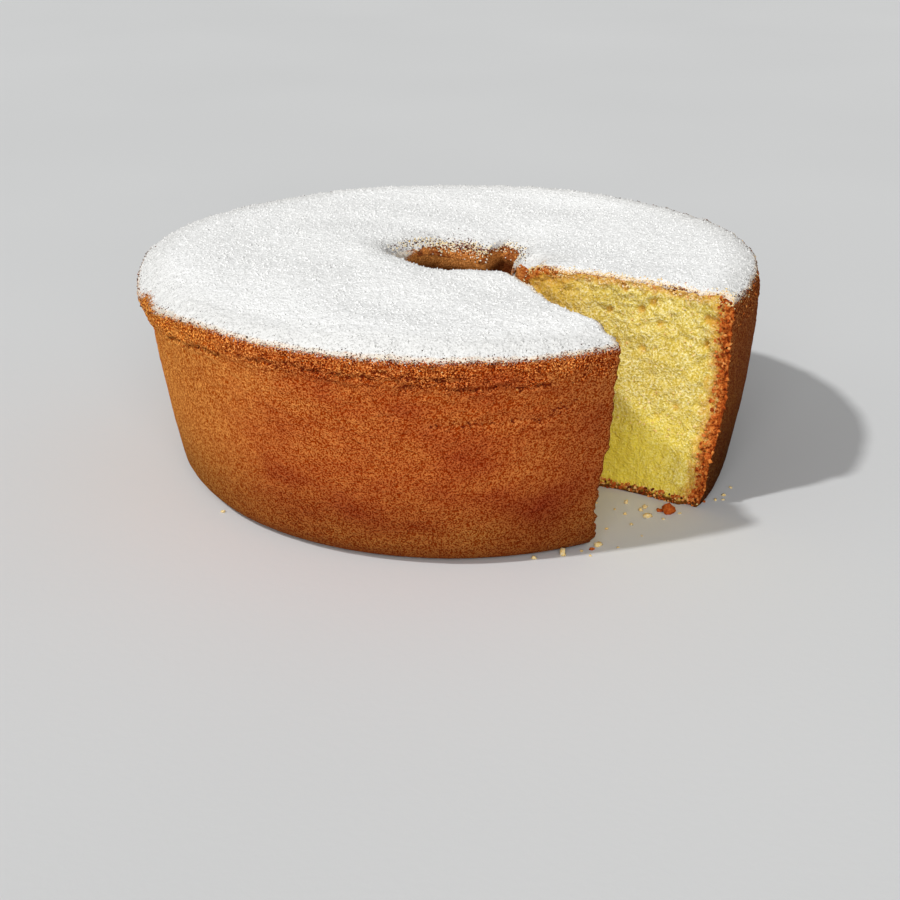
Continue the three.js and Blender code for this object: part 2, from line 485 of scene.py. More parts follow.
# %% Lines of the tears and wrinkles
TEARS = [
    [(209, 10.6), (215, 9.6)], [(217, 10.8), (222, 9.5), (227, 9.4)], [(230, 5.0), (232, 4.5)],
    [(232, 7.6), (239, 6.7), (240, 7.4)], [(241, 5.7), (243, 5.8)], [(245, 6.8), (248, 7.2)],
    [(250, 7.1), (257, 7.8)], [(257, 3.9), (259, 5.2)], [(260, 8.3), (262, 5.5), (264, 7.0)],
    [(261, 10.1), (263, 10.2)], [(266, 7.3), (270, 6.8)], [(268, 11.1), (273, 10.8)],
    [(275, 11.2), (276, 9.5), (280, 11.4), (283, 10.6), (285, 10.6)],
    [(12, 8.6), (18, 9.5)], [(60, 9.0), (68, 8.2)], [(101, 9.5), (109, 9.0)], [(150, 8.8), (161, 9.6)],
]
WRINKLES = [
    [(257, 20.6), (260, 22.4)], [(266, 24.9), (270, 23.9), (272, 24.9)],
    [(269, 26.7), (271, 23.9), (276, 23.3)], [(286, 20.6), (290, 18.5)],
    [(279, 22.9), (284, 23.8)], [(284, 22.6), (287, 22.4)],
]
print("tears:", len(TEARS), "wrinkles:", len(WRINKLES))

# %% Distance to the lines
DEGREE_MM = math.radians(1) * RIM_RADIUS


def away_from(lines, arc, below):
    """Distance in millimetres to the nearest of several broken lines drawn on the wall."""
    nearest = np.full(len(arc), np.inf)
    for line in lines:
        for (angle, depth), (next_angle, next_depth) in zip(line, line[1:]):
            run = (next_angle - angle) * DEGREE_MM
            fall = next_depth - depth
            x, y = arc - angle * DEGREE_MM, below - depth
            share = np.clip((x * run + y * fall) / (run * run + fall * fall), 0, 1)
            nearest = np.minimum(nearest, np.hypot(x - share * run, y - share * fall))
    return nearest


def around(t, r, z):
    return np.stack([r * np.cos(t), r * np.sin(t), z + 0 * t], axis=1)


def ragged_distance(lines, t, z):
    """Distance in millimetres from places on the wall to the nearest line, with the lines made ragged."""
    points = around(t, RIM_RADIUS, z)
    arc = np.degrees(t) * DEGREE_MM + 1.5 * lumps(points, 6, 2, seed=3)
    return away_from(lines, arc, rim_height(t) - z + 1.2 * lumps(points, 3, 3, seed=2))


front = np.radians(np.arange(230.0, 290.0))
print("nearest tear in front, mm:", ragged_distance(TEARS, front, rim_height(front) - 8).min().round(2))

# %% Relief of the wall
def wall_relief(t, z):
    """How far the crust stands out from the smooth wall, in millimetres."""
    points = around(t, RIM_RADIUS, z)
    below = rim_height(t) - z
    tear = ragged_distance(TEARS, t, z)
    wrinkle = ragged_distance(WRINKLES, t, z)
    band = ease(below, BAND + 2, BAND - 4)
    shown = 0.35 + bumps([(0.65, -120, 65)], t)
    swell = 0.8 * shown * hill(below - 6, 4) + 0.5 * shown * hill(tear - 1.8, 0.8)
    rough = band * (0.65 * lumps(points, 2.2, 2, seed=4) + 0.5 * lumps(points, 8, 2, seed=9))
    dents = 0.35 * lumps(points, 24, 2, seed=5) + 0.12 * lumps(points, 4.5, 3, seed=6)
    creases = 0.35 * lumps(points * (1, 1, 2.5), 6, 3, seed=12) * ease(below, 36, 20)
    open_tear = np.clip(1 - tear / 1.1, 0, 1) * np.clip(0.4 + 2.2 * lumps(points, 1.4, 2, seed=10), 0, 1)
    return swell + rough + dents + creases - 1.3 * open_tear - 0.5 * hill(wrinkle, 0.9)


front_relief = wall_relief(front, rim_height(front) - 8)
print("relief in front, mm: from", front_relief.min().round(2), "to", front_relief.max().round(2))

# %% [markdown]
# ## Ragged edges
#
# A knife does not leave a clean line in such a crumb. Along both cuts the crust crumbles, most of all low
# on the outer edge, and the rim is uneven. At the back a piece of crust has broken off the edge of the
# hole, and beside it the inner corner of the far half has come away with the slice. All of this moves the
# grid only by a millimetre or two, apart from the two broken places.

# %% Ragged rim and broken places
CUT_FADE = 0.02
NOTCH_SIDES = (31, 37, 57, 62)
NOTCH_IN = 10
NOTCH_FOOT = (64, 74)
NUB = [(3.5, 68, 7)]
BREAK_DROP = 11
BREAK_WIDTH = 13


def rim_rag(t):
    """Ups and downs of the rim, in millimetres."""
    points = around(t, RIM_RADIUS, 0)
    return 0.7 * lumps(points, 7, 3, seed=1) + 0.35 * lumps(points, 1.8, 2, seed=16)


def broken(t):
    """1 at the far cut, where the corner at the hole has come away, fading out round the hole."""
    return ease(t, math.radians(6), math.radians(-12))


def bare_top(a, u):
    """Height of the crust under the sugar, with a ragged rim, ragged cuts and the broken corner."""
    t = lerp(START, END, u)
    gone = BREAK_DROP * broken(t) * ease(a * RING_WIDTH, BREAK_WIDTH, 3)
    rim = np.clip(1 - (1 - a) * RING_WIDTH / 6, 0, 1)
    cut = np.clip(1 - np.minimum(u, 1 - u) / CUT_FADE, 0, 1)
    spots = around(t, lerp(HOLE_TOP_RADIUS, RIM_RADIUS, a), 0)
    return top_height(a, t) - gone + rim_rag(t) * rim + 0.6 * cut * lumps(spots, 5, 2, seed=7)


def notch(t):
    """1 where the piece has broken off the edge of the hole, with one steep side."""
    start, full, last, end = np.radians(NOTCH_SIDES)
    return ease(t, start, full) * (1 - ease(t, last, end))


def inner_radius(z, t):
    """Radius of the hole, with the broken place in its edge and the nub beside it."""
    return hole_radius(z) + (NOTCH_IN * notch(t) - bumps(NUB, t)) * ease(z, *NOTCH_FOOT)


print("notch, degrees:", NOTCH_SIDES)

# %% Ragged cuts
def rag_of_cut(r, z, seed):
    """Crumbling along a cut: small everywhere, coarse at the crust and coarsest low on the outer edge."""
    spots = np.stack([r, z, np.zeros_like(r)], axis=1)
    crust = np.maximum(ease(r, 104, 112), ease(z, 76, 84))
    teeth = ease(r, 100, 110) * ease(z, 40, 22)
    fine = (0.35 + 0.8 * crust) * lumps(spots, 3.4, 3, seed) + 0.4 * crust * lumps(spots, 1.5, 2, seed + 2)
    return fine + 1.7 * teeth * lumps(spots, 6, 2, seed + 1)


def place_on_ring(u, r, z):
    """Turns ring sizes into millimetres in the row frame, with both cut faces uneven."""
    near_push = near_uneven(r, z)
    far_push = -far_uneven(r, z)
    at_far = u < CUT_FADE
    at_near = u > 1 - CUT_FADE
    far_push[at_far] += rag_of_cut(r[at_far], z[at_far], 11) * (1 - u[at_far] / CUT_FADE)
    near_push[at_near] += rag_of_cut(r[at_near], z[at_near], 14) * (1 - (1 - u[at_near]) / CUT_FADE)
    angle = lerp(cut_angle(FAR_CUT, r, far_push), cut_angle(NEAR_CUT, r, near_push) + 2 * np.pi, u)
    return np.stack([AXIS_X + r * np.cos(angle), r * np.sin(angle), z], axis=1)


middle_of_ring = place_on_ring(np.array([0.5]), np.array([RIM_RADIUS]), np.array([WALL_HEIGHT]))
print("half way round the rim, mm:", middle_of_ring.round(1))

# %% [markdown]
# ## The grid becomes the cake
#
# Now every corner of the grid gets its place. Its three shares say where it lies from hole to rim, round
# the ring and from base to top. The corners crowd towards the edges, where the form turns fastest. A
# bending modifier could make a ring of a block as well, but not one with two different, uneven ends.

# %% Places of the cake's corners
CROWD_OUT = 0.3
CROWD_UP = 0.45


def crowd_ends(x, how):
    """Steps from 0 to 1 set closer together at both ends."""
    return x - how / (2 * np.pi) * np.sin(2 * np.pi * x)


a = crowd_ends(column / ACROSS, CROWD_OUT)
u = station / STATIONS
b = crowd_ends(row / UP, CROWD_UP)
t = lerp(START, END, u)
top = bare_top(a, u)
wall_z = b * (rim_height(t) + rim_rag(t))
hole_z = b * bare_top(0 * a, u)
hole_r = inner_radius(hole_z, t)
hole_r += 0.5 * lumps(around(t, hole_r, hole_z), 5, 3, seed=8) * ease(b, 0, 0.05)
at_wall = (column == ACROSS) | (station == 0) | (station == STATIONS)
relief = np.zeros(len(t))
relief[at_wall] = wall_relief(t[at_wall], wall_z[at_wall]) * ease(wall_z[at_wall], 0, 3)
wall_r = outer_radius(wall_z, t) + relief
ring_z = b * top
cake_points = place_on_ring(u, lerp(hole_r, wall_r, a), ring_z)
print("cake box, mm:", np.ptp(cake_points, axis=0).round(1))

# %% [markdown]
# ## The crumb of the cut faces
#
# The cut crumb is an open sponge of fine grains with a few pores of one to three millimetres. Modelling
# each pore would take millions of faces. Pushing the even grid of the cut faces in at scattered pores, and
# in and out at the grains, shows the same in daylight from the side. The brown edge is rougher, because it
# crumbles under the knife. The outline of each cut stays where it is, so that the mesh stays closed and the
# crust meets the crumb.

# %% Pores and grains of the crumb
inside = (column > 0) & (column < ACROSS) & (row > 0) & (row < UP)
outer_depth = (1 - a) * (wall_r - hole_r)
FAR_FACING = np.array([math.sin(FAR_CUT[0]), -math.cos(FAR_CUT[0]), 0])
NEAR_FACING = np.array([-math.sin(NEAR_CUT[0]), math.cos(NEAR_CUT[0]), 0])
pore_depth = np.zeros(len(a))

for end_station, facing, seed in ((0, FAR_FACING, 21), (STATIONS, NEAR_FACING, 25)):
    face = inside & (station == end_station)
    spots = cake_points[face]
    open_crumb = lerp(0.3, 1, ease(spots[:, 2], 25, 60))
    some = open_crumb * np.clip(0.65 + 1.8 * lumps(spots, 14, 2, seed), 0, 1)
    depth = 3.0 * some * pores(spots, 6.5, seed) + 0.6 * open_crumb * pores(spots, 2.6, seed + 1)
    crumbling = 1 + 1.8 * ease(outer_depth[face], 8, 5)
    clods = open_crumb * (1.05 * lumps(spots, 5, 2, seed + 2) + 0.6 * lumps(spots, 2.6, 1, seed + 4))
    grains = clods + 0.4 * crumbling * lumps(spots, 1.6, 2, seed + 3)
    edge = np.minimum(np.minimum(a, 1 - a) * RING_WIDTH, np.minimum(b, 1 - b) * WALL_HEIGHT)[face]
    height = (grains - depth) * np.clip(edge / 2, 0, 1)
    cake_points[face] += facing * height[:, None]
    pore_depth[face] = depth
    print("cut face relief, mm: from", height.min().round(2), "to", height.max().round(2))

# %% [markdown]
# ## One closed mesh
#
# The real cake is one body, and so is this mesh. Separate sheets could be welded by a modifier, but it
# would have to guess which corners belong together. The grid knows: each corner has its number, so sheets
# that meet share their corners. The count of open edges and the volume show that the mesh is closed.

# %% Faces of the cake
def sheet_faces(grid, flip):
    """Four-sided faces over a grid of corner numbers."""
    quads = np.stack([grid[:-1, :-1], grid[1:, :-1], grid[1:, 1:], grid[:-1, 1:]], axis=-1).reshape(-1, 4)
    return (quads[:, ::-1] if flip else quads).tolist()


def joining_faces(lines, coarse, fine, flip):
    """Faces from the few kept lines of a coarse row of corners to all the corners of a fine row."""
    faces = []
    for line, next_line in zip(lines, lines[1:]):
        ring = [coarse[line], coarse[next_line], *fine[line:next_line + 1][::-1]]
        faces.append([int(c) for c in (ring[::-1] if flip else ring)])
    return faces


skin_faces = sheet_faces(corner_number[:, ACROSS, :], False)
skin_faces += sheet_faces(corner_number[1:-1, 0, HOLE_LINES], True)
skin_faces += sheet_faces(corner_number[1:-1, TOP_LINES, UP], True)
skin_faces += sheet_faces(corner_number[1:-1, BASE_LINES, 0], False)
for next_to, cut, flip in ((1, 0, True), (STATIONS - 1, STATIONS, False)):
    coarse_side, fine_side = corner_number[next_to], corner_number[cut]
    skin_faces += joining_faces(HOLE_LINES, coarse_side[0], fine_side[0], flip)
    skin_faces += joining_faces(TOP_LINES, coarse_side[:, UP], fine_side[:, UP], flip)
    skin_faces += joining_faces(BASE_LINES, coarse_side[:, 0], fine_side[:, 0], not flip)
crumb_faces = sheet_faces(corner_number[0], False) + sheet_faces(corner_number[STATIONS], True)
print("cake faces: skin", len(skin_faces), "crumb", len(crumb_faces))

# %% Mesh of the cake
def add_piece(name, points, faces):
    """A smooth piece at true size, riding on the cake's one body."""
    mesh = bpy.data.meshes.new(name)
    mesh.from_pydata((np.asarray(points) * MM).tolist(), [], faces)
    mesh.update()
    mesh.shade_smooth()
    piece = bpy.data.objects.new(name, mesh)
    bpy.context.collection.objects.link(piece)
    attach(piece, "root")
    return piece


def keep_measure(piece, name, values):
    """Stores a number at each corner of the mesh for its finish to read."""
    piece.data.attributes.new(name, "FLOAT", "POINT").data.foreach_set("value", values.astype(np.float32))


cake = add_piece("cut_ring_cake", cake_points, skin_faces + crumb_faces)
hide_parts("cake")
closed = bmesh.new()
closed.from_mesh(cake.data)
open_edges = sum(len(e.link_faces) != 2 for e in closed.edges)
print("open edges:", open_edges, "volume, ml:", round(closed.calc_volume() * 1e6))
closed.free()

# %% [markdown]
# ## Numbers that guide the finishes
#
# The colour of a real cake follows its baking: brown near every skin, darker where the pan was hotter.
# Painted shade is added down the hole and in the tears. A painted picture could show all this, but it would
# have to be unwrapped and fitted to the mesh. Here the mesh keeps a few numbers at each corner instead: how
# deep it lies in the cake, how far below the rim or down the hole, how strongly browned and how near to a
# tear. The finishes read them.

# %% Depth in the cake
CRUST_AT_WALL = 7.2
CRUST_AT_HOLE = 7
CRUST_AT_BASE = 2.2
CRUST_AT_TOP = 6
CRUST_BY_HOLE = 9
PALER_AT_TOP = 0.7
PALER_BY_HOLE = 0.35

past_hole = ease(a, 0.1, 0.35)
top_crust = lerp(CRUST_BY_HOLE, CRUST_AT_TOP, past_hole)
top_depth = lerp(PALER_BY_HOLE, PALER_AT_TOP, past_hole) + (top - ring_z) / top_crust
hole_side = a * (wall_r - hole_r) / CRUST_AT_HOLE
crust_depth = np.minimum.reduce([outer_depth / CRUST_AT_WALL, hole_side, top_depth, ring_z / CRUST_AT_BASE])
for name, values in (("crust_depth", crust_depth), ("pore_depth", pore_depth), ("foot", ring_z)):
    keep_measure(cake, name, values)
print("corners deeper than the crust:", (crust_depth > 1).sum(), "of", len(crust_depth))

# %% Depth below the rim and down the hole
FAR_AWAY = 99
BARE_AT_RIM = [(2.6, 200.5, 5)]
BARE_AT_HOLE = [(4.5, 80, 38)]
SUGAR_IN_HOLE = [(11, 168, 30), (8, 24, 7)]

on_wall_side = np.where(column == ACROSS, rim_height(t) - ring_z, -2) + 2 * bumps(BARE_AT_RIM, t)
on_shoulder = -2 + 4 * bumps(BARE_AT_HOLE, t) + FAR_AWAY * broken(t)
on_top = np.where(a > 0.5, on_wall_side, on_shoulder)
on_outside = np.where(column == ACROSS, on_wall_side, np.where(row == UP, on_top, FAR_AWAY))
under_hole_edge = top - ring_z + 6 - bumps(SUGAR_IN_HOLE, t)
below_rim = np.where(column == 0, under_hole_edge, on_outside)
keep_measure(cake, "below_rim", below_rim)
shoulder_depth = np.where(row == UP, np.clip(1.5 - 0.3 * a * RING_WIDTH, 0, 3), 0)
# The broken notch counts as 4 mm deeper, so the painted shade down the hole is darker in it.
down_hole = np.where(column == 0, 1.5 + top - ring_z + 4 * notch(t), shoulder_depth)
keep_measure(cake, "hole_depth", down_hole)
print("corners in the band:", ((below_rim > 0) & (below_rim < BAND)).sum())
print("deepest in the hole, mm:", down_hole.max().round(1))

# %% Browning and tears
PATCHES = [
    (0.8, 241, 54, 9, 8), (0.8, 251, 62, 6, 6), (0.4, 257, 66, 6, 5), (1.2, 272, 38, 5, 12),
    (0.9, 277, 55, 6, 8), (1.1, 287, 58, 7, 9), (0.6, 278, 8, 5, 4), (0.3, 262, 18, 14, 9),
    (-0.5, 226, 20, 10, 12), (-0.4, 287, 6, 3, 3),
]
WRINKLES_FAINTER = 0.25


def browning(t, below):
    """Darker (above 0) and paler places, from rows of amount, angle, depth and two half widths."""
    total = np.zeros(len(t))
    for amount, angle, depth, half_angle, half_depth in PATCHES:
        total += bumps([(amount, angle, half_angle)], t) * hill(below - depth, half_depth)
    return total


keep_measure(cake, "browning", browning(t, rim_height(t) - ring_z))
on_wall_grid = column == ACROSS
wall_place = t[on_wall_grid], ring_z[on_wall_grid]
to_wrinkle = WRINKLES_FAINTER + ragged_distance(WRINKLES, *wall_place)
to_tear = np.full(len(t), float(FAR_AWAY))
to_tear[on_wall_grid] = np.minimum(ragged_distance(TEARS, *wall_place), to_wrinkle)
keep_measure(cake, "tear", to_tear)
print("wall corners within a millimetre of a tear:", (to_tear < 1).sum())

# %% [markdown]
# ## How well the form is kept
#
# What replaces a solid keeps its form. The distance from a corner of the new mesh to the nearest point
# of the solid tells how far the relief has moved it. Measuring every fortieth corner is enough for that.

# %% Distance to the solid
CORNERS_APART = 40

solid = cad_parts["cake"]
solid_points = [v.co for v in solid.data.vertices]
solid_tree = BVHTree.FromPolygons(solid_points, [p.vertices for p in solid.data.polygons])
away = [solid_tree.find_nearest(Vector(p))[3] / MM for p in cake_points[::CORNERS_APART] * MM]
print("distance to the solid, mm: mean", np.mean(away).round(2), "largest", np.max(away).round(2))

# %% [markdown]
# ## The crust
#
# The crust is a dry, finely grained, orange-brown skin, redder in patches that baked longer. On top of its
# own colour, light and shade are painted in: a lighter golden at the left, where the daylight falls, darker
# brown on the shaded right, a flank painted lighter at its top and darker low down, and painted shade
# towards the foot. A single brown would look like plastic. So four tones are chosen by broad noise and by
# the patches, and a grain finer than a millimetre multiplies them, dark in its pits and pale on its flecks.
# The same look serves the sugar, where crust shows through it.

# %% Tones and grain of the crust
def crust_tone(f):
    """Broad tones of the browned crust, with light and shade painted in at the left, the right, the flank
    and the foot.
    """
    broad = f.plus(f.times(f.noise(24, detail=3, shift=1, stretch=(1, 1, 1.8)), 0.6), 0.2)
    baked = f.plus(f.times(f.measure("browning"), 0.22), broad)
    tone = f.ramp(baked, (0.28, rgb(206, 114, 36)), (0.46, rgb(190, 94, 28)),
                  (0.58, rgb(179, 81, 23)), (0.8, rgb(154, 54, 15)))
    # Painted light: the left side, which faces the daylight, is made a lighter golden.
    left_painted_light = f.spread(f.axis("X"), -60, -124)
    tone = f.mix(left_painted_light, tone, rgb(224, 129, 39))
    # Painted shade: the crust darkens towards the right, which turns away from the daylight.
    right_painted_shade = f.spread(f.axis("X"), 15, 115, 0.0, 0.86)
    tone = f.mix(right_painted_shade, tone, rgb(112, 52, 18))
    # Painted shade: the crust darkens towards the foot, where less light reaches.
    low_down = f.spread(f.axis("Z"), 45, 0)
    tone = f.tint(low_down, tone, (0.5, 0.53, 0.5))
    # Painted light and shade on the shaded right flank: lighter near its top, darker low down.
    flank_painted_light_and_shade = f.mix(f.spread(f.axis("Z"), 80, 15), (1.33, 1.45, 1.13), (0.72, 0.8, 0.45))
    flank = f.spread(f.axis("X"), 90, 112)
    return f.tint(flank, tone, flank_painted_light_and_shade)


def crust_look(f):
    """Colour and height of the crust, with a grain that is coarser and stronger at the sides."""
    tone = crust_tone(f)
    to_side = f.math("ABSOLUTE", f.axis("X"))
    in_front = f.times(f.noise(0.62, detail=1.5, rough=0.6, shift=2), f.spread(to_side, 50, 100, 1, 0))
    at_sides = f.times(f.noise(0.78, detail=3, rough=0.75, shift=3), f.spread(to_side, 50, 100))
    dapple = f.noise(2.4, detail=2, shift=4)
    grain = f.plus(f.times(f.plus(in_front, at_sides), 0.88), f.times(dapple, 0.12))
    contrast = f.spread(to_side, 30, 110, 1.0, 1.35)
    grain = f.plus(f.sway(grain, contrast), 0.5)
    pits = f.mix(1, tone, (0.6, 0.33, 0.0), "MULTIPLY")
    flecks = f.mix(1, tone, (1.27, 1.9, 4.2), "MULTIPLY")
    return f.mix(f.spread(grain, 0.41, 0.59), pits, flecks), f.plus(grain, dapple)


crust = Finish("browned_crust")
crust_colour, crust_surface = crust_look(crust)
print("nodes for tones and grain:", len(crust.tree.nodes))

# %% [markdown]
# ## Creases and the rough band
#
# The upper wall has fine level creases, and under the rim runs a rough band with dark pits and pale flecks.
# Their relief is in the mesh. The creases also get painted shade in their hollows and a painted highlight
# on their ridges, so that they show more than their relief alone. Each mark multiplies the colour that is
# already there, and noise lets the band wander, come and go.

# %% Creases
crease_noise = crust.noise(1.5, detail=3, rough=0.65, shift=16, stretch=(1, 1, 2.4))
upper_wall = crust.spread(crust.axis("Z"), 35, 60)
# Painted shade in the creases and a painted highlight on the ridges between them.
crease_painted_shade = crust.times(upper_wall, crust.spread(crease_noise, 0.46, 0.36, 0.0, 0.7))
crust_colour = crust.tint(crease_painted_shade, crust_colour, (0.6, 0.4, 0.3))
ridge_painted_highlight = crust.times(upper_wall, crust.spread(crease_noise, 0.56, 0.66, 0.0, 0.6))
crust_colour = crust.tint(ridge_painted_highlight, crust_colour, (1.2, 1.4, 1.6))
print("nodes with creases:", len(crust.tree.nodes))

# %% Rough band
under_rim = crust.measure("below_rim")
band_wobble = crust.sway(crust.noise(6, detail=2, shift=22), 16)
band_patches = crust.spread(crust.noise(5, detail=2, shift=24, stretch=(1, 1, 1.6)), 0.38, 0.54, 0.35, 1.0)
in_band = crust.times(crust.spread(crust.plus(under_rim, band_wobble), 13, 7), band_patches)
band_factors = crust.mix(crust.spread(crust.axis("X"), -105, -50), (1.2, 0.98, 0.78), (0.93, 0.78, 0.7))
band_factors = crust.mix(crust.spread(crust.axis("X"), 0, 45), band_factors, (1.14, 0.98, 0.88))
crust_colour = crust.tint(in_band, crust_colour, band_factors)
coarse = crust.noise(0.58, detail=2, rough=0.65, shift=10)
band_pits = crust.times(in_band, crust.spread(coarse, 0.48, 0.44))
crust_colour = crust.tint(band_pits, crust_colour, (0.25, 0.1, 0.04))
band_flecks = crust.times(in_band, crust.spread(coarse, 0.54, 0.58))
crust_colour = crust.tint(band_flecks, crust_colour, (1.7, 2.5, 3.2))
cracks = crust.noise(1.4, detail=3, rough=0.7, shift=18, stretch=(1, 1, 2.2))
in_cracks = crust.times(in_band, crust.spread(cracks, 0.43, 0.36, 0.0, 0.8))
crust_colour = crust.mix(in_cracks, crust_colour, rgb(94, 28, 7))
print("nodes with the band:", len(crust.tree.nodes))

# %% [markdown]
# ## Hole, tears and clinging sugar
#
# Down the hole shade is painted in: its wall is golden at its edge and turns dark brown with depth. The
# tears are painted dark red-brown, as painted shade in their gaps, with painted highlights on their lips. As
# clean lines they would look drawn, so noise frays them and breaks them into short pieces.
# A little sugar clings under the rim and in the hole. The numbers on the mesh place all of this.

# %% Hole, tears and the finished crust
hole_depth = crust.measure("hole_depth")
# Painted shade: the wall of the hole darkens with depth below its edge, darkest in the broken notch.
hole_tone_with_painted_shade = crust.mix(crust.spread(hole_depth, 2.5, 8.5), rgb(205, 134, 68), rgb(62, 27, 8))
hole_grain = crust.mix(crust.spread(coarse, 0.4, 0.6), (0.7, 0.6, 0.45), (1.3, 1.4, 1.6))
hole_tone_with_painted_shade = crust.mix(1, hole_tone_with_painted_shade, hole_grain, "MULTIPLY")
crust_colour = crust.mix(crust.spread(hole_depth, 0, 2, 0.0, 0.9), crust_colour, hole_tone_with_painted_shade)
fray = crust.sway(crust.noise(1.2, detail=3, rough=0.7, shift=20), 8)
at_tear = crust.plus(crust.measure("tear"), fray)
# Painted highlight along the lips of the tears.
lip_painted_highlight = crust.spread(crust.math("ABSOLUTE", crust.math("SUBTRACT", at_tear, 1.4)), 0.5, 0.1, 0.0, 0.5)
crust_colour = crust.tint(lip_painted_highlight, crust_colour, (1.4, 1.8, 2.2))
# Painted shade: the tears, and faintly the wrinkle grooves, are made dark red-brown.
tear_breaks = crust.spread(crust.noise(3.2, detail=2, shift=26), 0.4, 0.56, 0.15, 0.95)
tear_painted_shade = crust.times(crust.spread(at_tear, 0.8, 0.15), tear_breaks)
crust_colour = crust.mix(tear_painted_shade, crust_colour, rgb(98, 26, 8))
clinging = crust.plus(crust.times(under_rim, -0.09), crust.noise(0.6, detail=3, rough=0.75, shift=5))
crust_colour = crust.mix(crust.spread(clinging, 0.43, 0.53), crust_colour, rgb(238, 229, 215))
cake.data.materials.append(crust.finish(crust_colour, crust.bump(crust_surface, 1.0), 0.85, 0.02))
print("crust nodes:", len(crust.tree.nodes))

# %% [markdown]
# ## The crumb
#
# Cut open, the cake is butter yellow, and denser and deeper in colour low down. There, where the near half
# shades the far cut, the yellow is also painted brighter and deeper, as painted light bounced between the
# two yellow faces. Towards every skin it turns golden and then brown, over about a centimetre at the wall
# and less at top and foot. A hard line between two finishes would look glued on. So one finish holds both:
# the mesh carries the depth as a number, and the finish makes it ragged with noise and goes from a brown to
# a yellow mixture of grains.

# %% Yellow crumb
crumb = Finish("yellow_crumb")
fine_grains = crumb.noise(0.9, detail=2, rough=0.6, shift=6)
yellow = crumb.ramp(fine_grains, (0.34, rgb(200, 171, 60)), (0.5, rgb(231, 209, 114)),
                    (0.66, rgb(255, 243, 186)))
clouds = crumb.spread(crumb.noise(6, detail=3, shift=7), 0.4, 0.64)
yellow = crumb.mix(clouds, yellow, crumb.mix(0.35, yellow, rgb(218, 186, 64)))
# Denser crumb and painted light: low on the shaded far cut, a brighter yellow stands for bounced light.
low_down = crumb.spread(crumb.axis("Z"), 46, 20)
off_wall = crumb.spread(crumb.axis("X"), 108, 68)
denser_crumb_and_painted_light = crumb.times(crumb.times(low_down, off_wall), 0.78)
yellow = crumb.mix(denser_crumb_and_painted_light, yellow, rgb(252, 228, 74))
by_hole = crumb.spread(crumb.axis("X"), 66, 36, 0.0, 0.85)
yellow = crumb.mix(by_hole, yellow, crumb.mix(0.6, yellow, rgb(214, 158, 48)))
pore_shade = crumb.spread(crumb.measure("pore_depth"), 0.3, 1.6, 0.0, 0.75)
yellow = crumb.mix(pore_shade, yellow, rgb(212, 158, 52))
print("nodes for the yellow:", len(crumb.tree.nodes))

# %% Brown edge and the finished crumb
chunks = crumb.noise(1.4, detail=3, rough=0.65, shift=8)
browned = crumb.ramp(chunks, (0.36, rgb(114, 41, 11)), (0.5, rgb(191, 97, 34)), (0.64, rgb(224, 141, 70)))
rag_noise = crumb.noise(3, detail=4, rough=0.7, shift=9)
from_skin = crumb.plus(crumb.measure("crust_depth"), crumb.sway(rag_noise, 1.6))
outermost = crumb.spread(from_skin, 0.34, 0.08, 0.0, 0.7)
browned = crumb.tint(outermost, browned, (0.62, 0.42, 0.35))
golden = crumb.mix(0.45, yellow, rgb(214, 142, 52))
edging = crumb.mix(crumb.spread(from_skin, 0.45, 0.9), browned, golden)
crumb_colour = crumb.mix(crumb.spread(from_skin, 0.85, 1.45), edging, yellow)
above_base = crumb.plus(crumb.measure("foot"), crumb.sway(rag_noise, 9))
crumb_colour = crumb.mix(crumb.spread(above_base, 3.2, 1.4, 0.0, 0.85), crumb_colour, rgb(96, 60, 20))
crumb_surface = crumb.plus(fine_grains, chunks)
cake.data.materials.append(crumb.finish(crumb_colour, crumb.bump(crumb_surface, 0.9), 0.9, 0.06))
face_slots = np.repeat([0, 1], [len(skin_faces), len(crumb_faces)]).astype(np.int32)
cake.data.polygons.foreach_set("material_index", face_slots)
print("crumb nodes:", len(crumb.tree.nodes))

# %% [markdown]
# ## The sugar
#
# Sifted sugar lies on the top as a soft powder more than a millimetre thick. At the rim and at the hole it
# runs out: its edge dives just under the crust, so the lumps in it leave a ragged line. It is a closed skin
# of its own that sinks into the cake a little, so no gap shows from the side. Its upper face is a fine grid
# with lumps of two to seven millimetres.

# %% Sugar heights
SUGAR_RISE = 1.5
SUGAR_RIM_RISE = -0.1
SUGAR_HOLE_RISE = -0.5
SUGAR_CUT_RISE = -0.35
SUGAR_SINK = 0.5
THIN_AT_HOLE = [(1.5, 0, 1e6), (-1.3, 80, 38)]


def to_nearest_cut(u, r):
    """Way round the ring to the nearer cut, in millimetres."""
    return np.minimum(u, 1 - u) * (END - START) * r


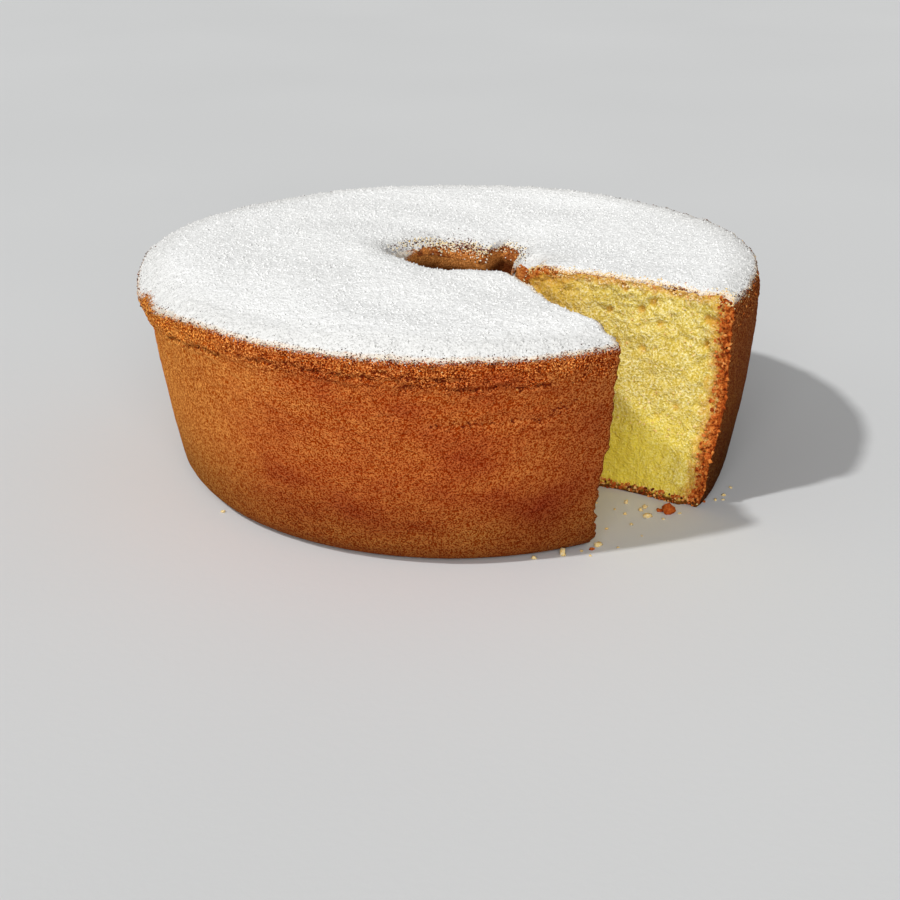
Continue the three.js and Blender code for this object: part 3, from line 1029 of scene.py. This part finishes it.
def sugar_height(a, u):
    """Radius, height of the bare crust, thickness of the sugar, way to its edge, cover of the crust."""
    t = lerp(START, END, u)
    rim_z = rim_height(t) + rim_rag(t)
    rim_r = outer_radius(rim_z, t) + wall_relief(t, rim_z)
    r = lerp(inner_radius(top_height(0 * a, t), t), rim_r, a)
    bare = bare_top(a, u)
    spots = around(t, r, bare)
    from_rim = (1 - a) * RING_WIDTH
    from_hole = a * RING_WIDTH - BREAK_WIDTH * broken(t)
    from_far_cut = u * (END - START) * r
    from_cut = to_nearest_cut(u, r)
    bare_at_hole = bumps(BARE_AT_HOLE, t)
    covered_at_hole = bumps(THIN_AT_HOLE, t) * (from_hole - bare_at_hole) - notch(t) * ease(from_hole, 4, 1)
    covered_at_rim = 0.35 * (from_rim - bumps(BARE_AT_RIM, t))
    covered_at_cut = 0.4 * from_far_cut - 0.3 + 0.9 * lumps(spots, 9, 2, seed=33)
    cover = np.minimum.reduce([covered_at_rim, covered_at_hole, covered_at_cut])
    heaps = 0.18 * lumps(spots, 7, 2, seed=31) + 0.3 * lumps(spots, 2, 2, seed=32)
    from_edge = np.minimum(from_rim, 1.2 * from_hole - 0.4 * bare_at_hole)
    edge_rise = np.where(a > 0.5, SUGAR_RIM_RISE, SUGAR_HOLE_RISE)
    full = lerp(edge_rise, SUGAR_RISE, 1 - (1 - np.clip(from_edge / 8, 0, 1)) ** 2)
    smooth = np.minimum(full, lerp(SUGAR_CUT_RISE, SUGAR_RISE, quarter(from_cut / 5)))
    thick = smooth + heaps * np.clip(from_cut / 2, 0.4, 1)
    return r, bare, thick, np.minimum(from_rim, from_hole), cover


middle_of_top = sugar_height(np.array([0.5]), np.array([0.5]))
print("sugar in the middle of the top, mm:", middle_of_top[2].round(2))

# %% Grid of the sugar
SUGAR_STATIONS = 600
SUGAR_ACROSS = 130
INSET = 0.0007
THINNEST = 0.1

steps_round, steps_out = np.indices((SUGAR_STATIONS + 1, SUGAR_ACROSS + 1)).reshape(2, -1)
u = lerp(INSET, 1 - INSET, steps_round / SUGAR_STATIONS)
a = crowd_ends(steps_out / SUGAR_ACROSS, CROWD_OUT)
r, bare, thick, to_edge, cover = sugar_height(a, u)
to_cut = to_nearest_cut(u, r)
on_crust = place_on_ring(u, r, bare)
lower = on_crust - (0, 0, SUGAR_SINK)
upper = on_crust + np.outer(np.maximum(thick, THINNEST - SUGAR_SINK), (0, 0, 1))
print("sugar thickness, mm: from", thick.min().round(2), "to", thick.max().round(2))

# %% Sugar piece
UNDER_LINES = list(range(0, SUGAR_ACROSS + 1, 10))

upper_number = np.arange(len(upper)).reshape(SUGAR_STATIONS + 1, SUGAR_ACROSS + 1)
kept = np.zeros(upper_number.shape, dtype=bool)
kept[:, UNDER_LINES] = True
kept[[0, -1]] = True
lower_number = np.full(upper_number.shape, -1)
lower_number[kept] = len(upper) + np.arange(kept.sum())
sugar_faces = sheet_faces(upper_number, True) + sheet_faces(lower_number[1:-1, UNDER_LINES], False)
sugar_faces += joining_faces(UNDER_LINES, lower_number[1], lower_number[0], False)
sugar_faces += joining_faces(UNDER_LINES, lower_number[-2], lower_number[-1], True)
for edge, flip in (((slice(None), -1), False), ((slice(None), 0), True), ((0,), False), ((-1,), True)):
    sugar_faces += sheet_faces(np.stack([lower_number[edge], upper_number[edge]], axis=1), flip)
sugar = add_piece("sugar_top", np.concatenate([upper, lower[kept.ravel()]]), sugar_faces)
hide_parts("sugar_dusting")
for name, values in (("to_edge", to_edge), ("to_cut", to_cut), ("cover", cover)):
    keep_measure(sugar, name, np.concatenate([values, values[kept.ravel()]]))
print("sugar triangles:", sum(len(p.vertices) - 2 for p in sugar.data.polygons))

# %% [markdown]
# ## The look of the sugar
#
# The powder is a dull white with fine grey specks, a little greyer towards the rim and the hole, where it
# tilts away from the sky. Beside the cuts and where it runs out, crumbs and crust make it cream. White with
# light passing through it would take longer to render and look the same at this size, so a plain dull
# white is used. Where the cover is thin, noise decides between sugar and the crust under it.

# %% Sugar finish
powdered = Finish("sifted_sugar")
bare_colour, _ = crust_look(powdered)
bare_colour = powdered.mix(0.5, bare_colour, rgb(92, 58, 34))
speckle = powdered.noise(0.9, detail=2, rough=0.6, shift=12)
white = powdered.ramp(speckle, (0.32, rgb(214, 214, 212)), (0.46, rgb(246, 246, 244)),
                      (0.66, rgb(253, 253, 252)))
# Painted shade: the white is made greyer within 18 mm of the rim and the hole, where it tilts from the sky.
tilted_painted_shade = powdered.mix(1, white, (0.83, 0.826, 0.818), "MULTIPLY")
white = powdered.mix(powdered.spread(powdered.measure("to_edge"), 18, 1), white, tilted_painted_shade)
beside_cut = powdered.spread(powdered.measure("to_cut"), 3, 0.3, 0.0, 0.6)
white = powdered.mix(beside_cut, white, rgb(236, 204, 156))
running_out = powdered.spread(powdered.measure("to_edge"), 1.4, 0.2, 0.0, 0.4)
white = powdered.mix(running_out, white, rgb(243, 212, 168))
patchy = powdered.noise(0.9, detail=3, rough=0.75, shift=13)
covered = powdered.plus(powdered.times(powdered.measure("cover"), 0.3), patchy)
sugar_colour = powdered.mix(powdered.spread(covered, 0.40, 0.56), bare_colour, white)
sugar_surface = powdered.plus(speckle, powdered.noise(2, detail=2, shift=14))
sugar.data.materials.append(powdered.finish(sugar_colour, powdered.bump(sugar_surface, 0.4), 0.95, 0.06))
print("sugar nodes:", len(powdered.tree.nodes))

# %% [markdown]
# ## Loose grains and crumbs
#
# From a step away the sugar looks grainy, and every edge of the crust carries small crumbs. A bump in the
# finish cannot stand up against a low view, so grains and crumbs are real: thousands of small balls pulled
# out of round, joined into one mesh per kind. Each crumb keeps a tone between dark crust (0) and white sugar
# (1).

# %% Piles of grains
def ball(subdivisions):
    """Corners and faces of a ball with radius 1; with 0 subdivisions it is an eight-sided grain."""
    made = bmesh.new()
    if subdivisions:
        bmesh.ops.create_icosphere(made, subdivisions=subdivisions, radius=1)
    else:
        bmesh.ops.create_uvsphere(made, u_segments=4, v_segments=2, radius=1)
    points = np.array([v.co for v in made.verts])
    faces = np.array([[v.index for v in f.verts] for f in made.faces])
    made.free()
    return points, faces


def grain_pile(centres, sizes, subdivisions, seed):
    """One mesh of uneven grains, as corners and faces, with each grain's number for each corner."""
    chance = np.random.default_rng(seed)
    points, faces = ball(subdivisions)
    count = len(sizes)
    uneven = chance.uniform(0.6, 1.4, (count, len(points), 1))
    stretch = chance.uniform(0.6, 1.4, (count, 1, 3)) * np.asarray(sizes)[:, None, None]
    places = np.asarray(centres)[:, None] + points * uneven * stretch
    numbered = faces + (np.arange(count) * len(points))[:, None, None]
    return places.reshape(-1, 3), numbered.reshape(-1, 3).tolist(), np.repeat(np.arange(count), len(points))


print("faces of a grain, a crumb and a lump:", [len(ball(s)[1]) for s in (0, 1, 2)])

# %% White grains on the sugar
WHITE_GRAINS = 20000

chance = np.random.default_rng(51)
from_middle = np.sqrt(chance.uniform((HOLE_TOP_RADIUS / RIM_RADIUS) ** 2, 1, WHITE_GRAINS)) * RIM_RADIUS
a = np.clip((from_middle - HOLE_TOP_RADIUS) / RING_WIDTH, 0, 1)
u = chance.uniform(INSET, 1 - INSET, WHITE_GRAINS)
r, bare, thick, to_edge, cover = sugar_height(a, u)
sizes = chance.uniform(0.3, 0.75, WHITE_GRAINS) * ease(cover, -0.6, 0.8)
centres = place_on_ring(u, r, bare) + np.outer(np.maximum(thick, 0) - 0.2, (0, 0, 1))
grain_points, grain_faces, owner = grain_pile(centres, sizes, 0, 52)
white_grains = add_piece("sugar_grains", grain_points, grain_faces)
keep_measure(white_grains, "cover", np.full(len(grain_points), FAR_AWAY))
keep_measure(white_grains, "to_edge", to_edge[owner])
keep_measure(white_grains, "to_cut", to_nearest_cut(u, r)[owner])
white_grains.data.materials.append(powdered.material)
print("white grains:", WHITE_GRAINS)

# %% Places for crumbs on the wall and the far cut
def on_wall(count, low, high, fall):
    """Places scattered under the rim, denser near it."""
    u = chance.uniform(0, 1, count)
    t = lerp(START, END, u)
    z = rim_height(t) + rim_rag(t) - np.clip(chance.exponential(fall, count), low, high)
    return place_on_ring(u, outer_radius(z, t) + wall_relief(t, z), z)


def on_far_cut(r_share, b, lift):
    """Places on the far cut face, by shares of the way out and up."""
    t = np.full(len(b), START)
    z = b * bare_top(r_share, 0 * b)
    r = lerp(inner_radius(z, t), outer_radius(z, t) + wall_relief(t, z), r_share)
    return place_on_ring(0 * b, r, z) + FAR_FACING * lift


def shares(count, low, high):
    return chance.uniform(low, high, count)


print("first edges with crumbs:", [f.__name__ for f in (on_wall, on_far_cut)])

# %% Places for crumbs on the sugar
def on_sugar(a, u):
    """Places on the surface of the sugar."""
    r, bare, thick, _, _ = sugar_height(a, u)
    return place_on_ring(u, r, bare + np.maximum(thick, 0))


def on_hole_edge(count, middle, either_way):
    """Places on the shoulder of the hole, most of them at the back and this far from the edge."""
    t = math.radians(84) + math.radians(33) * chance.normal(0, 1, count)
    u = np.clip((t - START) / (END - START), 0.004, 0.996)
    a = np.clip(chance.normal(middle, either_way, count), 0, 18) / RING_WIDTH
    return on_sugar(a, u)


def on_sugar_edge(count):
    """Places on the sugar within a few millimetres of the far cut."""
    u = INSET + chance.exponential(0.003, count)
    a = chance.uniform(0.12, 1, count)
    return on_sugar(a, u)


def on_rim(count):
    """Places on the sugar just inside the rim."""
    u = chance.uniform(0.002, 0.998, count)
    a = 1 - np.clip(chance.exponential(0.9, count), 0.1, 4) / RING_WIDTH
    return on_sugar(a, u)


print("more edges with crumbs:", [f.__name__ for f in (on_rim, on_hole_edge, on_sugar_edge)])

# %% Crumbs along the edges
groups = [
    (on_wall(700, 0, 4, 0.8), (0.12, 0.26), (0.7, 0.95)),
    (on_wall(500, 0, 3, 0.7), (0.18, 0.36), (0.0, 0.25)),
    (on_wall(700, 1, 11, 5), (0.2, 0.42), (0.1, 0.6)),
    (on_rim(1400), (0.12, 0.26), (0.0, 0.1)),
    (on_hole_edge(900, 3.2, 1.4), (0.16, 0.32), (0.0, 0.12)),
    (on_hole_edge(700, 3.2, 1.4), (0.18, 0.42), (0.82, 1.05)),
    (on_hole_edge(110, 8, 4), (0.12, 0.24), (0.0, 0.12)),
    (on_far_cut(shares(200, 0.08, 0.93), shares(200, 0.3, 0.96), 0), (0.25, 0.5), (0.74, 0.82)),
    (on_far_cut(shares(260, 0.935, 1), shares(260, 0.02, 1), -0.2), (0.3, 0.85), (0.2, 0.58)),
    (on_far_cut(shares(420, 0.05, 1), 1 - shares(420, 0, 0.03), -0.1), (0.2, 0.5), (0.62, 0.9)),
    (on_far_cut(shares(300, 0.05, 1), shares(300, 0, 0.045), 0), (0.3, 0.8), (0.05, 0.75)),
    (on_sugar_edge(480), (0.14, 0.36), (0.72, 0.96)),
    (on_sugar_edge(120), (0.12, 0.26), (0.0, 0.4)),
]
centres = np.concatenate([places for places, _, _ in groups])
sizes = np.concatenate([chance.uniform(*size, len(places)) for places, size, _ in groups])
tones = np.concatenate([chance.uniform(*tone, len(places)) for places, _, tone in groups])
crumb_points, crumb_pile_faces, owner = grain_pile(centres, sizes, 1, 53)
crumb_points[:, 2] = np.maximum(crumb_points[:, 2], 0)
edge_crumbs = add_piece("edge_crumbs", crumb_points, crumb_pile_faces)
edge_crumbs.data.shade_flat()
keep_measure(edge_crumbs, "tone", tones[owner])
print("edge crumbs:", len(sizes))

# %% [markdown]
# ## Fallen crumbs
#
# The knife has left a few crumbs where the slice was taken out. They are the same uneven balls, only larger
# and with more faces. Scattering by chance would be shorter, but these few are seen one by one, so each is
# put where one lies beside the real cake: pale crumbs first, then bits of crust. A row gives the place and
# the size in millimetres.

# %% Fallen crumbs
FALLEN = [
    (70, -60, 1.0), (77, -64, 1.1), (75, -67, 0.9), (68.5, -70.6, 0.7), (77, -73, 1.2),
    (70, -80, 0.7), (55.5, -98.5, 1.3), (42, -106, 1.8), (49, -103, 0.8), (31, -109, 0.9),
    (106, -57, 0.7), (110, -52.5, 0.6), (114, -45, 0.6), (109, -57, 0.5), (-89.3, -68.5, 1.0),
    (73, -90, 0.5), (60, -84, 0.5), (65, -66, 0.6), (83, -75, 0.5), (90, -70, 0.6),
    (58, -60, 0.5), (87, -63.5, 0.7), (63, -100, 0.5), (52, -107, 0.6),
]
FALLEN_CRUST = [
    (85.5, -69, 2.7), (82.5, -67.5, 1.2), (96, -60.5, 1.0), (101, -58.5, 0.8), (53, -101.5, 0.9),
]
PALE_TONE = 0.82
CRUST_TONE = 0.34

fallen = np.array(FALLEN + FALLEN_CRUST)
fallen_centres = np.stack([fallen[:, 0], fallen[:, 1], 0.4 * fallen[:, 2]], axis=1)
fallen_tones = np.repeat([PALE_TONE, CRUST_TONE], [len(FALLEN), len(FALLEN_CRUST)])
fallen_points, fallen_faces, owner = grain_pile(fallen_centres, fallen[:, 2], 2, 54)
fallen_points[:, 2] = np.maximum(0.8 * fallen_points[:, 2], 0)
fallen_crumbs = add_piece("fallen_crumbs", fallen_points, fallen_faces)
keep_measure(fallen_crumbs, "tone", fallen_tones[owner])
print("fallen crumbs:", len(fallen))

# %% [markdown]
# ## The look of the crumbs
#
# Loose crumbs are of every colour from dark crust to white sugar. A finish for each would make a long list
# of materials. One ramp of colours over the tone that each crumb keeps does the same, and noise mottles it.

# %% Finish of the crumbs
loose = Finish("loose_crumb")
mottle = loose.sway(loose.noise(0.9, detail=2, shift=15), 0.5)
loose_colour = loose.ramp(
    loose.plus(loose.measure("tone"), mottle),
    (0.0, rgb(58, 44, 32)), (0.14, rgb(98, 38, 12)), (0.32, rgb(180, 82, 29)), (0.55, rgb(212, 128, 58)),
    (0.8, rgb(238, 208, 136)), (1.0, rgb(248, 240, 222)))
for pile in (edge_crumbs, fallen_crumbs):
    pile.data.materials.append(loose.material)
loose.finish(loose_colour, loose.bump(loose.noise(0.8), 0.3), 0.9, 0.06)
print("crumb finish nodes:", len(loose.tree.nodes))

# %% [markdown]
